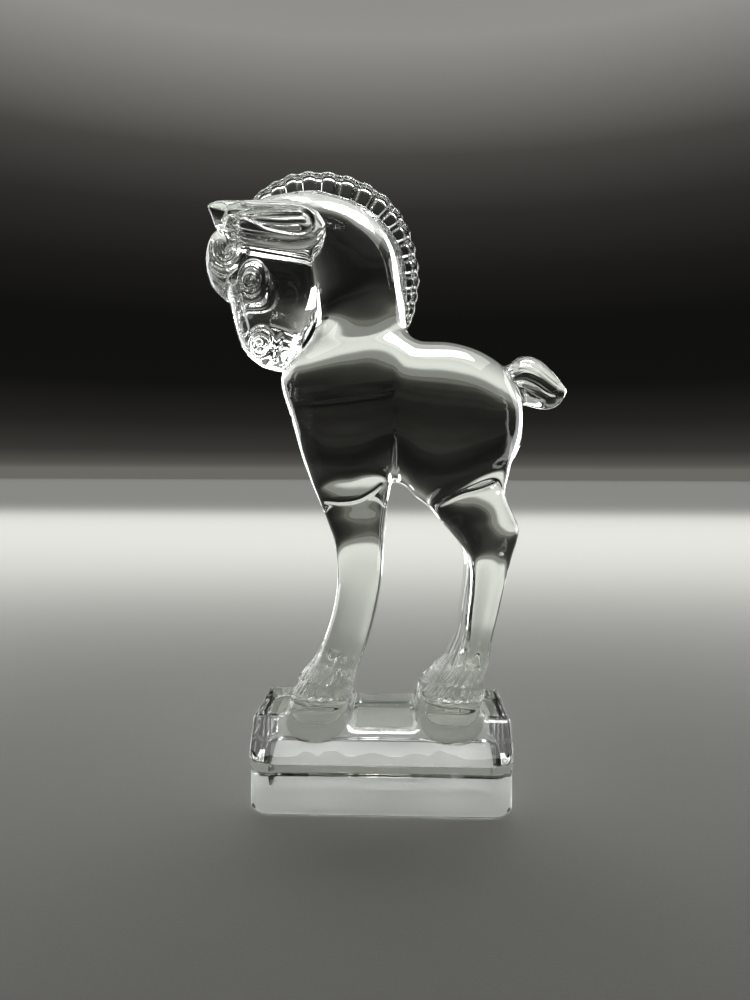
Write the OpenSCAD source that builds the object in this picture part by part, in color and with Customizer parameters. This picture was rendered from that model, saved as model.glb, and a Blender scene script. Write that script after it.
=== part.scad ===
// Pressed glass pony standing on a two-tier glass plinth.
// X runs along the pony with its head at -X, Y is across it, Z is up.
// The origin is the middle of the underside of the plinth.

/* [Figure] */
// Height from the underside of the plinth to the top of the mane
figure_h = 300; // [150:5:450]
// Half-thickness of the barrel at its widest
barrel_half = 27; // [24:0.5:29]
// Half-thickness of the neck at its base
neck_half = 20; // [17:0.5:22]
// Half-thickness of the head at the cheek
cheek_half = 18; // [16:0.5:20]
// Distance from the middle plane to the outside of a leg
leg_out = 22; // [20:0.5:24]
// Distance from the middle plane to the outside of a hoof
hoof_out = 29; // [27.5:0.5:31]

/* [Mane] */
// Thickness of the mane crest
crest_t = 6; // [4:0.5:9]
// Height of the mane crest above the neck at the withers
crest_h = 9; // [6:0.5:10]
// How much taller the mane crest is over the poll than at the withers
crest_more = 2.6; // [0:0.2:3]
// Number of locks along the mane crest
locks = 17; // [11:2:23]
// Depth of the notch between two locks
notch = 0.8; // [0.3:0.1:1.2]

/* [Ears and eyes] */
// How far an ear stands out from the side of the head
ear_proud = 5; // [3:0.5:7]
// Depth of the bowl of an ear
bowl_depth = 2.5; // [1:0.25:3]
// Radius of the outer ring of an eye
eye_r = 7; // [6:0.25:7.5]

/* [Fetlocks] */
// Number of flutes around a fetlock
flutes = 16; // [10:2:20]
// Depth of a flute as a share of the fetlock's half-width
flute_depth = 0.06; // [0.02:0.01:0.09]

/* [Plinth] */
// Length of the plinth along the pony
plinth_l = 120; // [116:1:130]
// Depth of the plinth across the pony
plinth_d = 76; // [70:1:82]
// Height of the plinth to its plateau
plinth_h = 41.5; // [39:0.5:43]
// Height of the upright lower tier
tier_h = 24; // [20:0.5:28]
// Depth of the plateau across the pony
plateau_d = 48; // [44:1:52]
// Width of the cut at each upright corner
corner = 7; // [3:0.5:9]
// Depth of the trough between the front and rear hooves
trough = 4.5; // [2:0.5:6]

/* [Hidden] */

glass = [0.86, 0.93, 0.9, 0.45];
drawn_h = 299.25;
near = -1;
far = 1;
sides = 26;
steps = 2;
big = 200;

// A station is [front x, front z, back x, back z, half-thickness, middle y, squareness].
// Front and back are the two ends of one slice through a limb in the middle plane.
head_st = [
    [-46, 287.5, -35, 287.5, 8, 0, 2],
    [-61, 284, -26, 281, 14, 0, 2.2],
    [-74, 277, -24, 269, 16, 0, 2.3],
    [-79, 268, -26, 257, 17, 0, 2.4],
    [-79.5, 254, -28, 244, cheek_half, 0, 2.4],
    [-76, 241, -31, 233, cheek_half, 0, 2.4],
    [-73.4, 231, -35, 226, cheek_half - 1, 0, 2.3]
];
muzzle_st = [
    [-73.4, 231, -35, 226, cheek_half - 1, 0, 2.3],
    [-71, 220.5, -40, 216, cheek_half - 2, 0, 2.3],
    [-67, 212, -42.5, 208, cheek_half - 4, 0, 2.2],
    [-60, 206, -45.5, 203.2, cheek_half - 9, 0, 2.1]
];
neck_st = [
    [-46, 285, -31, 289, 9, 0, 2],
    [-52, 274, -12.5, 283, neck_half - 5, 0, 2],
    [-46, 262, 0.5, 273, neck_half - 3, 0, 2.1],
    [-40, 248, 8, 260, neck_half - 2, 0, 2.1],
    [-35, 236, 10, 245, neck_half - 1.5, 0, 2.1],
    [-33, 225, 10.4, 232, neck_half - 1, 0, 2.1],
    [-38, 213, 11.5, 222, neck_half, 0, 2.1],
    [-45, 203, 17, 213, neck_half + 2, 0, 2.1],
    [-43, 190, 20, 198, neck_half + 2, 0, 2.1]
];
body_st = [
    [-49.3, 201.5, -49.3, 194, 5, 0, 2],
    [-48, 203, -46.5, 187, barrel_half - 14, 0, 2.2],
    [-43.5, 207, -42.5, 174, barrel_half - 9, 0, 2.4],
    [-37, 214, -37, 156, barrel_half - 5, 0, 2.8],
    [-29, 217, -29, 140.5, barrel_half - 3, 0, 3.0],
    [-18, 218, -18, 138.5, barrel_half - 2, 0, 3.2],
    [-8, 218, -8, 142, barrel_half - 2, 0, 3.2],
    [0, 218, 0, 147, barrel_half - 2, 0, 3.2],
    [5, 218, 5, 149.5, barrel_half - 2, 0, 3.4],
    [11, 217.5, 11, 147.5, barrel_half - 1, 0, 3.6],
    [20, 216.4, 18, 141, barrel_half, 0, 3.8],
    [31, 216, 29, 137.5, barrel_half, 0, 3.8],
    [43, 213, 41, 142, barrel_half - 1, 0, 3.6],
    [54, 207.5, 53, 148, barrel_half - 4, 0, 3.0],
    [61, 201, 61, 157.5, barrel_half - 9, 0, 2.4],
    [65.5, 193, 65.5, 166, barrel_half - 15, 0, 2.1],
    [67, 184, 67, 174, 5, 0, 2]
];
front_part = [for (i = [0 : 8]) body_st[i]];
rear_part = [for (i = [8 : len(body_st) - 1]) body_st[i]];

// One leg of a pair: its inner face is flat against the other leg at the middle plane.
leg_mid = leg_out / 2;
leg_half = leg_out / 2 + 0.5;
foreleg_st = [
    [-34, 162, 3, 168, leg_half - 1, leg_mid - 0.5, 2.4],
    [-32.5, 148, 4.5, 152, leg_half + 0.5, leg_mid + 0.5, 2.8],
    [-26.3, 132, 1.8, 136, leg_half + 0.5, leg_mid + 0.5, 3],
    [-22.4, 120, 0.5, 120, leg_half, leg_mid, 3],
    [-21.3, 105, -0.2, 105, leg_half, leg_mid, 3],
    [-22.6, 93, -2, 93, leg_half, leg_mid, 3],
    [-25.2, 82.5, -4.5, 82, leg_half, leg_mid, 3],
    [-28.6, 73, -7.5, 72, leg_half, leg_mid, 3],
    [-32.8, 64, -11, 62, leg_half + 0.5, leg_mid + 0.5, 2.8]
];
gaskin_st = [
    [13, 166, 60, 171, leg_half - 1, leg_mid - 0.5, 2.4],
    [14, 152, 59, 155, leg_half + 0.5, leg_mid + 0.5, 2.6],
    [23, 137, 57.5, 145, leg_half + 1, leg_mid + 1, 2.8],
    [32, 126.5, 61.5, 135, leg_half + 0.5, leg_mid + 0.5, 2.8],
    [38.5, 118.5, 64.2, 127, leg_half, leg_mid, 2.8],
    [40.8, 111.5, 60.8, 114, leg_half - 0.5, leg_mid - 0.5, 3]
];
cannon_st = [
    [40.8, 111.5, 60.8, 114, leg_half - 0.5, leg_mid - 0.5, 3],
    [40.2, 100, 57.8, 101.5, leg_half - 0.5, leg_mid - 0.5, 3],
    [38.6, 88, 55, 88, leg_half - 0.5, leg_mid - 0.5, 3],
    [37, 76, 52.3, 76, leg_half - 0.5, leg_mid - 0.5, 3],
    [32.5, 64, 50, 62, leg_half + 0.5, leg_mid + 0.5, 2.8]
];
fetlock_front_st = [
    [-32.8, 64, -11, 62, leg_half + 0.5, leg_mid + 0.5, 2.8],
    [-36.5, 58, -13, 56, leg_half + 1.5, leg_mid + 1.5, 2.6],
    [-40, 54, -14.5, 52, leg_half + 2, leg_mid + 2, 2.6],
    [-42.8, 49.5, -15.5, 48.5, leg_half + 2.5, leg_mid + 2.5, 2.6]
];
fetlock_rear_st = [
    [32.5, 64, 50, 62, leg_half + 0.5, leg_mid + 0.5, 2.8],
    [27.5, 58, 48, 56, leg_half + 1.5, leg_mid + 1.5, 2.6],
    [23.5, 54, 47.5, 52, leg_half + 2, leg_mid + 2, 2.6],
    [19.5, 49.5, 47.5, 48.5, leg_half + 2.5, leg_mid + 2.5, 2.6]
];
hoof_mid = hoof_out / 2;
hoof_half = hoof_out / 2 + 0.5;
hoof_front_st = [
    [-42.8, 49.5, -15.5, 48.5, leg_half + 2.5, leg_mid + 2.5, 2.6],
    [-44.3, 45.5, -15.5, 44.5, hoof_half - 0.7, hoof_mid - 0.7, 2.6],
    [-45, 40, -15.5, 40, hoof_half + 0.3, hoof_mid + 0.3, 2.6],
    [-45.5, 28, -15.5, 28, hoof_half + 1.5, hoof_mid + 1.5, 2.6]
];
hoof_rear_st = [
    [19.5, 49.5, 47.5, 48.5, leg_half + 2.5, leg_mid + 2.5, 2.6],
    [17.7, 45.5, 47.5, 44.5, hoof_half - 0.7, hoof_mid - 0.7, 2.6],
    [17, 40, 48, 40, hoof_half + 0.3, hoof_mid + 0.3, 2.6],
    [16.5, 28, 48.5, 28, hoof_half + 1.5, hoof_mid + 1.5, 2.6]
];
tail_st = [
    [54, 206, 58, 184, 8, 0, 2],
    [60, 206.5, 63, 187, 8, 0, 2],
    [66, 210.5, 68, 187.3, 8, 0, 2.2],
    [74, 209.5, 75, 185.6, 7.5, 0, 2.2],
    [82, 203, 80, 185.4, 6.5, 0, 2.2],
    [86.5, 197.5, 85, 187.5, 5, 0, 2],
    [88.3, 195, 88, 192.5, 3, 0, 2]
];
ear_st = [
    [-81.8, 278.8, -81.2, 276, 1.5, 15.5, 2],
    [-76.8, 280.3, -76.5, 265.5, 3.5, 16, 2.2],
    [-66.5, 280, -66, 261, ear_proud, 17, 2.3],
    [-52.6, 279.4, -52.2, 258.6, ear_proud + 1, 18, 2.4],
    [-41, 278.3, -40.6, 257.8, ear_proud + 1, 18, 2.4],
    [-32, 275, -32.7, 260, ear_proud, 17, 2.3],
    [-27.3, 269.6, -28.1, 264, 2.5, 16, 2]
];
bowl_st = [
    [-72.9, 274, -72.5, 272.6, 0.6, 0, 2],
    [-61.6, 274, -60.7, 266.5, bowl_depth, 0, 2],
    [-46.6, 274.9, -45.7, 261.8, bowl_depth, 0, 2],
    [-34.4, 274, -34.4, 262.2, bowl_depth, 0, 2],
    [-29.2, 269.3, -29.7, 266, 0.6, 0, 2]
];
bowl_y = 17.5 + ear_proud;
forelock_st = [
    [-77, 274, -73, 272, 5, 0, 2],
    [-84, 267, -68, 266, 11, 0, 2.2],
    [-86.3, 256, -66, 256, 12.5, 0, 2.2],
    [-83.5, 244.5, -66, 247, 11.5, 0, 2.2],
    [-77, 237.5, -70, 239, 6, 0, 2]
];
eye_at = [-61.3, 243.5];
eye_top = cheek_half + 1.5;
eye_rise = 1.25;
ring_w = 1.6;
pupil_r = 2.6;

// The mane crest follows the top of the neck from the forehead to the withers.
crest_line = [
    [-66, 281], [-57, 284], [-45, 286.7], [-31, 287.8], [-17, 285.3], [-5, 279],
    [2.7, 269.5], [7, 257.5], [8.8, 245], [9.8, 233], [10.8, 224]
];
crest_taper = 0.22;
crest_root = 5;
crest_steps = 10;

// Value of a smooth curve between b and c, whose neighbours are a and d.
function between(a, b, c, d, t) =
    (2 * b + (c - a) * t + (2 * a - 5 * b + 4 * c - d) * t * t + (3 * b - a - 3 * c + d) * t * t * t) / 2;

// Smooth value of a list at place u, which counts the items from 0.
function along(list, u) =
    let (i = min(floor(u), len(list) - 2), last = len(list) - 1)
    between(list[max(i - 1, 0)], list[i], list[i + 1], list[min(i + 2, last)], u - i);

function bulge(v, square) = sign(v) * pow(abs(v), 2 / square);

// Points of one slice, mirrored to the given side and kept on its own side of the middle plane.
function slice(st, n, side, split, wave, waves) = [
    for (k = [0 : n - 1])
    let (
        a = 360 * (k + 0.5) / n,
        r = 1 - wave * (1 + cos(a * waves)) / 2,
        u = (1 + r * bulge(cos(a), st[6])) / 2,
        y = st[5] + r * st[4] * bulge(sin(a), st[6])
    )
    [st[0] + u * (st[2] - st[0]), side * (split ? max(0, y) : y), st[1] + u * (st[3] - st[1])]
];

function centre(points) = [for (p = points) 1] * points / len(points);

// A solid limb through a list of stations. A wave cuts flutes along it.
module limb(st, side = far, split = false, wave = 0, waves = 0, n = sides) {
    last = (len(st) - 1) * steps;
    rings = [for (i = [0 : last]) slice(along(st, i / steps), n, side, split, wave, waves)];
    start = last * n + n;
    points = concat([for (r = rings) each r], [centre(rings[0]), centre(rings[last])]);
    walls = [
        for (i = [0 : last - 1], k = [0 : n - 1])
        let (a = i * n + k, b = i * n + (k + 1) % n)
        each [[a, a + n, b], [b, a + n, b + n]]
    ];
    ends = [
        for (k = [0 : n - 1])
        each [[start, k, (k + 1) % n], [start + 1, last * n + (k + 1) % n, last * n + k]]
    ];
    way = points[start + 1] - points[start];
    across = [st[0][2] - st[0][0], 0, st[0][3] - st[0][1]];
    turned = side * (across[0] * way[2] - across[2] * way[0]) < 0;
    faces = concat(walls, ends);
    polyhedron(points, turned ? [for (f = faces) [f[0], f[2], f[1]]] : faces);
}

// Keeps a carved glass member as one closed skin at the figure's real height.
module member() {
    color(glass) scale(figure_h / drawn_h) resize([0, 0, 0]) children();
}

// Keeps a straight-sided glass member at the figure's real height.
module block() {
    color(glass) scale(figure_h / drawn_h) children();
}

module plan(l, d, cut) {
    polygon([
        [-l / 2 + cut, -d / 2], [l / 2 - cut, -d / 2], [l / 2, -d / 2 + cut], [l / 2, d / 2 - cut],
        [l / 2 - cut, d / 2], [-l / 2 + cut, d / 2], [-l / 2, d / 2 - cut], [-l / 2, -d / 2 + cut]
    ]);
}

bevel = 2.5;
trough_l = 28;
trough_round = 6;

// Outer shape of the plinth: an upright tier under a tier with sloping long faces.
module plinth_shape() {
    intersection() {
        linear_extrude(plinth_h) plan(plinth_l, plinth_d, corner);
        rotate([90, 0, 90])
            linear_extrude(big, center = true)
                polygon([
                    [-plinth_d / 2, 0], [plinth_d / 2, 0], [plinth_d / 2, tier_h],
                    [plateau_d / 2, plinth_h], [-plateau_d / 2, plinth_h], [-plinth_d / 2, tier_h]
                ]);
        rotate([90, 0, 0])
            linear_extrude(big, center = true)
                polygon([
                    [-plinth_l / 2, 0], [plinth_l / 2, 0], [plinth_l / 2, plinth_h - bevel],
                    [plinth_l / 2 - bevel, plinth_h], [-plinth_l / 2 + bevel, plinth_h],
                    [-plinth_l / 2, plinth_h - bevel]
                ]);
    }
}

module plinth() {
    block()
        difference() {
            plinth_shape();
            translate([1, 0, plinth_h - trough + trough_round])
                rotate([90, 0, 0])
                    linear_extrude(big, center = true) {
                        for (end = [-1, 1])
                            translate([end * trough_l / 2 - end * trough_round, 0])
                                circle(trough_round, $fn = 32);
                        square([trough_l - 2 * trough_round, 2 * trough_round], center = true);
                    }
        }
}

module hoof(st, side) {
    member()
        difference() {
            limb(st, side, true);
            plinth_shape();
        }
}
module hoof_front_near() { hoof(hoof_front_st, near); }
module hoof_front_far() { hoof(hoof_front_st, far); }
module hoof_rear_near() { hoof(hoof_rear_st, near); }
module hoof_rear_far() { hoof(hoof_rear_st, far); }

module fetlock(st, side) {
    member() limb(st, side, true, flute_depth, flutes, 4 * flutes);
}
module fetlock_front_near() { fetlock(fetlock_front_st, near); }
module fetlock_front_far() { fetlock(fetlock_front_st, far); }
module fetlock_rear_near() { fetlock(fetlock_rear_st, near); }
module fetlock_rear_far() { fetlock(fetlock_rear_st, far); }

module foreleg(side) {
    member()
        difference() {
            limb(foreleg_st, side, true);
            limb(front_part);
        }
}
module foreleg_near() { foreleg(near); }
module foreleg_far() { foreleg(far); }

module cannon_rear(side) {
    member() limb(cannon_st, side, true);
}
module cannon_rear_near() { cannon_rear(near); }
module cannon_rear_far() { cannon_rear(far); }

module gaskin(side) {
    member()
        difference() {
            limb(gaskin_st, side, true);
            limb(rear_part);
            limb(front_part);
        }
}
module gaskin_near() { gaskin(near); }
module gaskin_far() { gaskin(far); }

module forequarters() { member() limb(front_part); }
module hindquarters() { member() limb(rear_part); }

module crest_shape() {
    n = (len(crest_line) - 1) * crest_steps;
    line = [for (i = [0 : n]) along(crest_line, i / crest_steps)];
    out = [
        for (i = [0 : n])
        let (
            u = i / n,
            way = line[min(i + 1, n)] - line[max(i - 1, 0)],
            up = [-way[1], way[0]] / norm(way),
            taper = pow(min(1, min(u, 1 - u) / crest_taper), 0.6),
            lock = abs(cos(180 * locks * u)),
            height = crest_h + crest_more * min(1, max(0, 1.5 - 2 * u))
        )
        line[i] + up * max(0.4, taper * (height - notch * pow(lock, 3)))
    ];
    root = [
        for (i = [n : -1 : 0])
        let (way = line[min(i + 1, n)] - line[max(i - 1, 0)])
        line[i] - [-way[1], way[0]] / norm(way) * crest_root
    ];
    rotate([90, 0, 0])
        linear_extrude(crest_t, center = true)
            polygon(concat(out, root));
}
module mane_crest() { block() crest_shape(); }

module neck() {
    member()
        difference() {
            limb(neck_st);
            limb(front_part);
            limb(rear_part);
            limb(head_st);
            limb(muzzle_st);
            crest_shape();
            ear_shape(near);
            ear_shape(far);
        }
}

module ear_shape(side) {
    limb(ear_st, side);
}
module ear(side) {
    member()
        difference() {
            ear_shape(side);
            translate([0, side * bowl_y, 0]) limb(bowl_st);
        }
}
module ear_near() { ear(near); }
module ear_far() { ear(far); }

module eye_bed(side) {
    translate([eye_at[0], 0, eye_at[1]])
        rotate([side * -90, 0, 0])
            cylinder(h = eye_top, r = eye_r, $fn = 48);
}

// An eye: a raised outer ring around a sunken ring and a domed pupil.
module eye(side) {
    block()
        translate([eye_at[0], 0, eye_at[1]])
            rotate([side * -90, 0, 0])
                difference() {
                    translate([0, 0, eye_top / 2]) cylinder(h = eye_top / 2, r = eye_r, $fn = 48);
                    translate([0, 0, eye_top - eye_rise])
                        difference() {
                            cylinder(h = big, r = eye_r - ring_w, $fn = 48);
                            translate([0, 0, -eye_rise]) sphere(pupil_r, $fn = 48);
                        }
                }
}
module eye_near() { eye(near); }
module eye_far() { eye(far); }

module eye_beds() {
    for (side = [near, far])
        difference() {
            eye_bed(side);
            cube([big, eye_top, 4 * big], center = true);
        }
}

module head() {
    member()
        difference() {
            limb(head_st);
            limb(forelock_st);
            crest_shape();
            eye_beds();
            ear_shape(near);
            ear_shape(far);
        }
}
module muzzle() {
    member()
        difference() {
            limb(muzzle_st);
            limb(front_part);
        }
}
module forelock() {
    member()
        difference() {
            limb(forelock_st);
            eye_beds();
            ear_shape(near);
            ear_shape(far);
        }
}
module tail() {
    member()
        difference() {
            limb(tail_st);
            limb(rear_part);
        }
}

plinth();
hoof_front_near();
hoof_front_far();
hoof_rear_near();
hoof_rear_far();
fetlock_front_near();
fetlock_front_far();
fetlock_rear_near();
fetlock_rear_far();
foreleg_near();
foreleg_far();
cannon_rear_near();
cannon_rear_far();
gaskin_near();
gaskin_far();
hindquarters();
forequarters();
neck();
head();
muzzle();
forelock();
mane_crest();
ear_near();
ear_far();
eye_near();
eye_far();
tail();
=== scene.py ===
import math

import bpy
import numpy as np
import openvdb as vdb
from mathutils import Matrix, Vector


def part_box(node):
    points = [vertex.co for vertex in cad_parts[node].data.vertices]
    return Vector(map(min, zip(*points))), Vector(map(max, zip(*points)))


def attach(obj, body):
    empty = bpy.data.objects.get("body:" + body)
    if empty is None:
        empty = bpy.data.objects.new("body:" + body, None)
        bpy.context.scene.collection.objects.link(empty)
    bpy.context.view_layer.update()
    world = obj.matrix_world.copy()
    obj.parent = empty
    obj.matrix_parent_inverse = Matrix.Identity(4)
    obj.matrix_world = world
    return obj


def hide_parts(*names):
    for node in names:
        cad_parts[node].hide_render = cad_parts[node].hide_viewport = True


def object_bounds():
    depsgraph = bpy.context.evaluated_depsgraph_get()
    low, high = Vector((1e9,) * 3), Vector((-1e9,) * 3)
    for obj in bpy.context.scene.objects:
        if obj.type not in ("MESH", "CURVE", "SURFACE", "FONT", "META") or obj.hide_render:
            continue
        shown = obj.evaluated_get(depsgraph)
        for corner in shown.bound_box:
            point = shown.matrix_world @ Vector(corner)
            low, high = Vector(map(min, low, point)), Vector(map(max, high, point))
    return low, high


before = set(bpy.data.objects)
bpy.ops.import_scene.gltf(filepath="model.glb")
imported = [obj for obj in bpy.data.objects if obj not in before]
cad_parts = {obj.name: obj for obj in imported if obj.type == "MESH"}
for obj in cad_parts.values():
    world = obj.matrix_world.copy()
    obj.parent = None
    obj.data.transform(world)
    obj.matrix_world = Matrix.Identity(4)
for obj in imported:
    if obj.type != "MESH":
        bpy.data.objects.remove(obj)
cad_low, cad_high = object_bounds()

# The gather: one charge of molten crystal that a plunger presses into a hinged iron mould.
# It is kept as a field of distances in mm from the glass surface, negative inside the glass.
# Only the far half is worked out, because both halves of the mould are alike.
DRAWN_HEIGHT = 299.25
MM = (cad_high[2] - cad_low[2]) / DRAWN_HEIGHT
CELL = 0.5
REACH = 8.0
MOULD_LOW = np.array([-91.0, -1.0, -3.0])
MOULD_HIGH = np.array([92.0, 38.0, 304.0])
cells = np.round((MOULD_HIGH - MOULD_LOW) / CELL).astype(int) + 1
glass = np.full(cells, REACH, np.float32)
along_x = (MOULD_LOW[0] + CELL * np.arange(cells[0], dtype=np.float32))[:, None, None]
along_y = (MOULD_LOW[1] + CELL * np.arange(cells[1], dtype=np.float32))[None, :, None]
along_z = (MOULD_LOW[2] + CELL * np.arange(cells[2], dtype=np.float32))[None, None, :]
side_x = along_x[:, 0, :]
side_z = along_z[0, :, :]


def join(a, b, soft):
    """Adds two fields, with a fillet of about the given size where they meet."""
    step = np.clip(1 - np.abs(a - b) / soft, 0, 1)
    return np.minimum(a, b) - step * step * soft / 4


def meet(a, b, soft):
    """Keeps what is inside both fields, with a fire-polished edge of about the given size."""
    return -join(-a, -b, soft)


def curve(rows, per):
    """A smooth run through the listed rows, with the given number of steps between two rows."""
    rows = np.array(rows, float)
    padded = np.vstack([2 * rows[0] - rows[1], rows, 2 * rows[-1] - rows[-2]])
    out = []
    for i in range(len(rows) - 1):
        a, b, c, d = padded[i:i + 4]
        t = np.linspace(0, 1, per, endpoint=False)[:, None]
        out.append(b + ((c - a) + ((2 * a - 5 * b + 4 * c - d) + (3 * b - 3 * c + d - a) * t) * t) * t / 2)
    return np.vstack(out + [rows[-1:]])


def limb(rows, side=1, around=96, per=10, wave=None):
    """The skin of a limb. A row is front x, z, back x, z, half-thickness, middle y, squareness."""
    rows = curve(rows, per)
    angle = 2 * np.pi * (np.arange(around) + 0.5) / around
    out, up = np.cos(angle)[None], np.sin(angle)[None]
    front, back, square = rows[:, 0:2], rows[:, 2:4], rows[:, 6:7]
    u = np.sign(out) * np.abs(out) ** (2 / square)
    v = np.sign(up) * np.abs(up) ** (2 / square)
    if wave is not None:
        swell = wave(np.linspace(0, 1, len(rows))[:, None], angle[None])
        u, v = u * swell, v * swell
    x = front[:, 0:1] + (1 + u) / 2 * (back[:, 0:1] - front[:, 0:1])
    z = front[:, 1:2] + (1 + u) / 2 * (back[:, 1:2] - front[:, 1:2])
    y = side * (rows[:, 5:6] + rows[:, 4:5] * v)
    points = np.stack([x, y, z], 2)
    ends = points[[0, -1]].mean(1)
    i, k = np.meshgrid(np.arange(len(rows) - 1), np.arange(around), indexing="ij")
    a, b = (i * around + k).ravel(), (i * around + (k + 1) % around).ravel()
    quads = np.stack([a, b, b + around, a + around], 1)
    k = np.arange(around)
    n = len(rows) * around
    first = np.stack([np.full(around, n), (k + 1) % around, k], 1)
    last = np.stack([np.full(around, n + 1), n - around + k, n - around + (k + 1) % around], 1)
    return np.vstack([points.reshape(-1, 3), ends]), quads, np.vstack([first, last])


def press(skin, soft):
    """Presses a limb into the gather, with a fillet of about the given size."""
    points, quads, fans = skin
    index = (points - MOULD_LOW) / CELL
    band = int(REACH / CELL)
    cast = vdb.FloatGrid.createLevelSetFromPolygons(
        index.astype(np.float32), triangles=fans.astype(np.uint32), quads=quads.astype(np.uint32),
        transform=vdb.createLinearTransform(voxelSize=1.0), halfWidth=band)
    low = np.clip(np.floor(index.min(0)).astype(int) - band, 0, cells - 1)
    high = np.clip(np.ceil(index.max(0)).astype(int) + band + 1, 1, cells)
    patch = np.empty(high - low, np.float32)
    cast.copyToArray(patch, ijk=tuple(int(v) for v in low))
    room = tuple(slice(a, b) for a, b in zip(low, high))
    glass[room] = join(glass[room], patch * CELL, soft)


# Plinth: a solid glass block in two tiers. The mould gives it upright sides below, long faces that
# slope in above, cut corners and a shallow trough between the front and rear hooves.
plinth_low, plinth_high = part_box("plinth")
PLINTH_L, PLINTH_D, PLINTH_H = (round((b - a) / MM, 1) for a, b in zip(plinth_low, plinth_high))
TIER_H = 24.0
PLATEAU_D = 48.0
CORNER = 7.0
UPPER_CORNER = 2.5
TROUGH = 4.5
TROUGH_ENDS = (-15.0, 17.0)
TROUGH_ROUND = 5.0
TROUGH_LIP = 2.0
EDGE = 2.2
SEAM = 0.6

lean = math.atan2((PLINTH_D - PLATEAU_D) / 2, PLINTH_H - TIER_H)
end_faces = np.abs(along_x) - PLINTH_L / 2
floor_and_top = np.maximum(-along_z, along_z - PLINTH_H)
slope = (np.abs(along_y) - PLINTH_D / 2) * math.cos(lean) + (along_z - TIER_H) * math.sin(lean)


def cut_corner(cut):
    """The slanting face that takes the given length off an upright corner."""
    return (np.abs(along_x) + np.abs(along_y) - (PLINTH_L + PLINTH_D) / 2 + cut) / math.sqrt(2)


lower = meet(np.abs(along_y) - PLINTH_D / 2, end_faces, EDGE)
lower = meet(meet(lower, cut_corner(CORNER), EDGE), along_z - TIER_H, SEAM)
upper = meet(slope, end_faces, EDGE)
upper = meet(upper, cut_corner(UPPER_CORNER), EDGE)
upper = meet(upper, TIER_H - along_z, SEAM)
plinth = meet(join(lower, upper, SEAM), floor_and_top, EDGE)
trough = np.maximum(TROUGH_ENDS[0] - along_x, along_x - TROUGH_ENDS[1])
trough = meet(trough, PLINTH_H - TROUGH - along_z, TROUGH_ROUND)
plinth = meet(plinth, -trough, TROUGH_LIP)
glass = np.minimum(glass, plinth).astype(np.float32)

# Legs: each pair is one thick pressing with a groove down its front and back where the two legs
# meet. The sides are nearly flat, so they show what is behind them almost unbent.
# PAIR is the fillet where they run into each other and into the gather.
LEG_OUT = 22.0
leg_mid, leg_half = LEG_OUT / 2, LEG_OUT / 2 + 0.5
FORELEG = [
    [-34, 176, 6, 182, 7, 8, 2.2],
    [-35, 162, 5.5, 168, 10, 10.5, 2.4],
    [-32.5, 148, 4.5, 152, leg_half + 0.5, leg_mid + 0.5, 2.8],
    [-26.3, 132, 1.8, 136, leg_half + 0.5, leg_mid + 0.5, 3],
    [-22.4, 120, 0.5, 120, leg_half, leg_mid, 3],
    [-21.3, 105, -0.2, 105, leg_half, leg_mid, 3],
    [-22.6, 93, -2, 93, leg_half, leg_mid, 3],
    [-25.2, 82.5, -4.5, 82, leg_half, leg_mid, 3],
    [-28.6, 73, -7.5, 72, leg_half, leg_mid, 3],
    [-32.8, 64, -11, 62, leg_half + 0.5, leg_mid + 0.5, 2.8],
]
HIND_LEG = [
    [8, 178, 62, 184, 7, 8, 2.2],
    [12, 166, 62, 171, 10, 10.5, 2.4],
    [13, 152, 59.5, 155, leg_half + 0.5, leg_mid + 0.5, 2.6],
    [23, 137, 57.5, 145, leg_half + 1, leg_mid + 1, 2.8],
    [32, 126.5, 61.5, 135, leg_half + 0.5, leg_mid + 0.5, 2.8],
    [38.5, 118.5, 64.2, 127, leg_half, leg_mid, 2.8],
    [40.8, 111.5, 60.8, 114, leg_half - 0.5, leg_mid - 0.5, 3],
    [40.2, 100, 57.8, 101.5, leg_half - 0.5, leg_mid - 0.5, 3],
    [38.6, 88, 55, 88, leg_half - 0.5, leg_mid - 0.5, 3],
    [37, 76, 52.3, 76, leg_half - 0.5, leg_mid - 0.5, 3],
    [32.5, 64, 50, 62, leg_half + 0.5, leg_mid + 0.5, 2.8],
]
PAIR = 2.0

# Hooves and fetlocks: each hoof swells out past the edge of the plateau and runs down the slope.
# Above it the fetlock is pressed with two rows of upright flutes and a plain ring between them.
# FLUTE_DEPTH is a share of the fetlock's width, and RING_AT and FLUTES_END are shares of its height.
HOOF_OUT = 29.0
hoof_mid, hoof_half = HOOF_OUT / 2, HOOF_OUT / 2 + 0.5
FRONT_FOOT = [
    [-32.8, 64, -11, 62, leg_half + 0.5, leg_mid + 0.5, 2.8],
    [-36.5, 58, -13, 56, leg_half + 1.5, leg_mid + 1.5, 2.6],
    [-40, 54, -14.5, 52, leg_half + 2, leg_mid + 2, 2.6],
    [-42.8, 49.5, -15.5, 48.5, leg_half + 2.5, leg_mid + 2.5, 2.6],
]
REAR_FOOT = [
    [32.5, 64, 50, 62, leg_half + 0.5, leg_mid + 0.5, 2.8],
    [27.5, 58, 48, 56, leg_half + 1.5, leg_mid + 1.5, 2.6],
    [23.5, 54, 47.5, 52, leg_half + 2, leg_mid + 2, 2.6],
    [19.5, 49.5, 47.5, 48.5, leg_half + 2.5, leg_mid + 2.5, 2.6],
]
FRONT_HOOF = [
    [-42.8, 49.5, -15.5, 48.5, leg_half + 2.5, leg_mid + 2.5, 2.6],
    [-44.3, 45.5, -15.5, 44.5, hoof_half - 0.2, hoof_mid - 0.2, 2.6],
    [-45, 40, -15.5, 40, hoof_half, hoof_mid, 2.6],
    [-45, 30, -15.5, 30, hoof_half, hoof_mid, 2.6],
]
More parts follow.
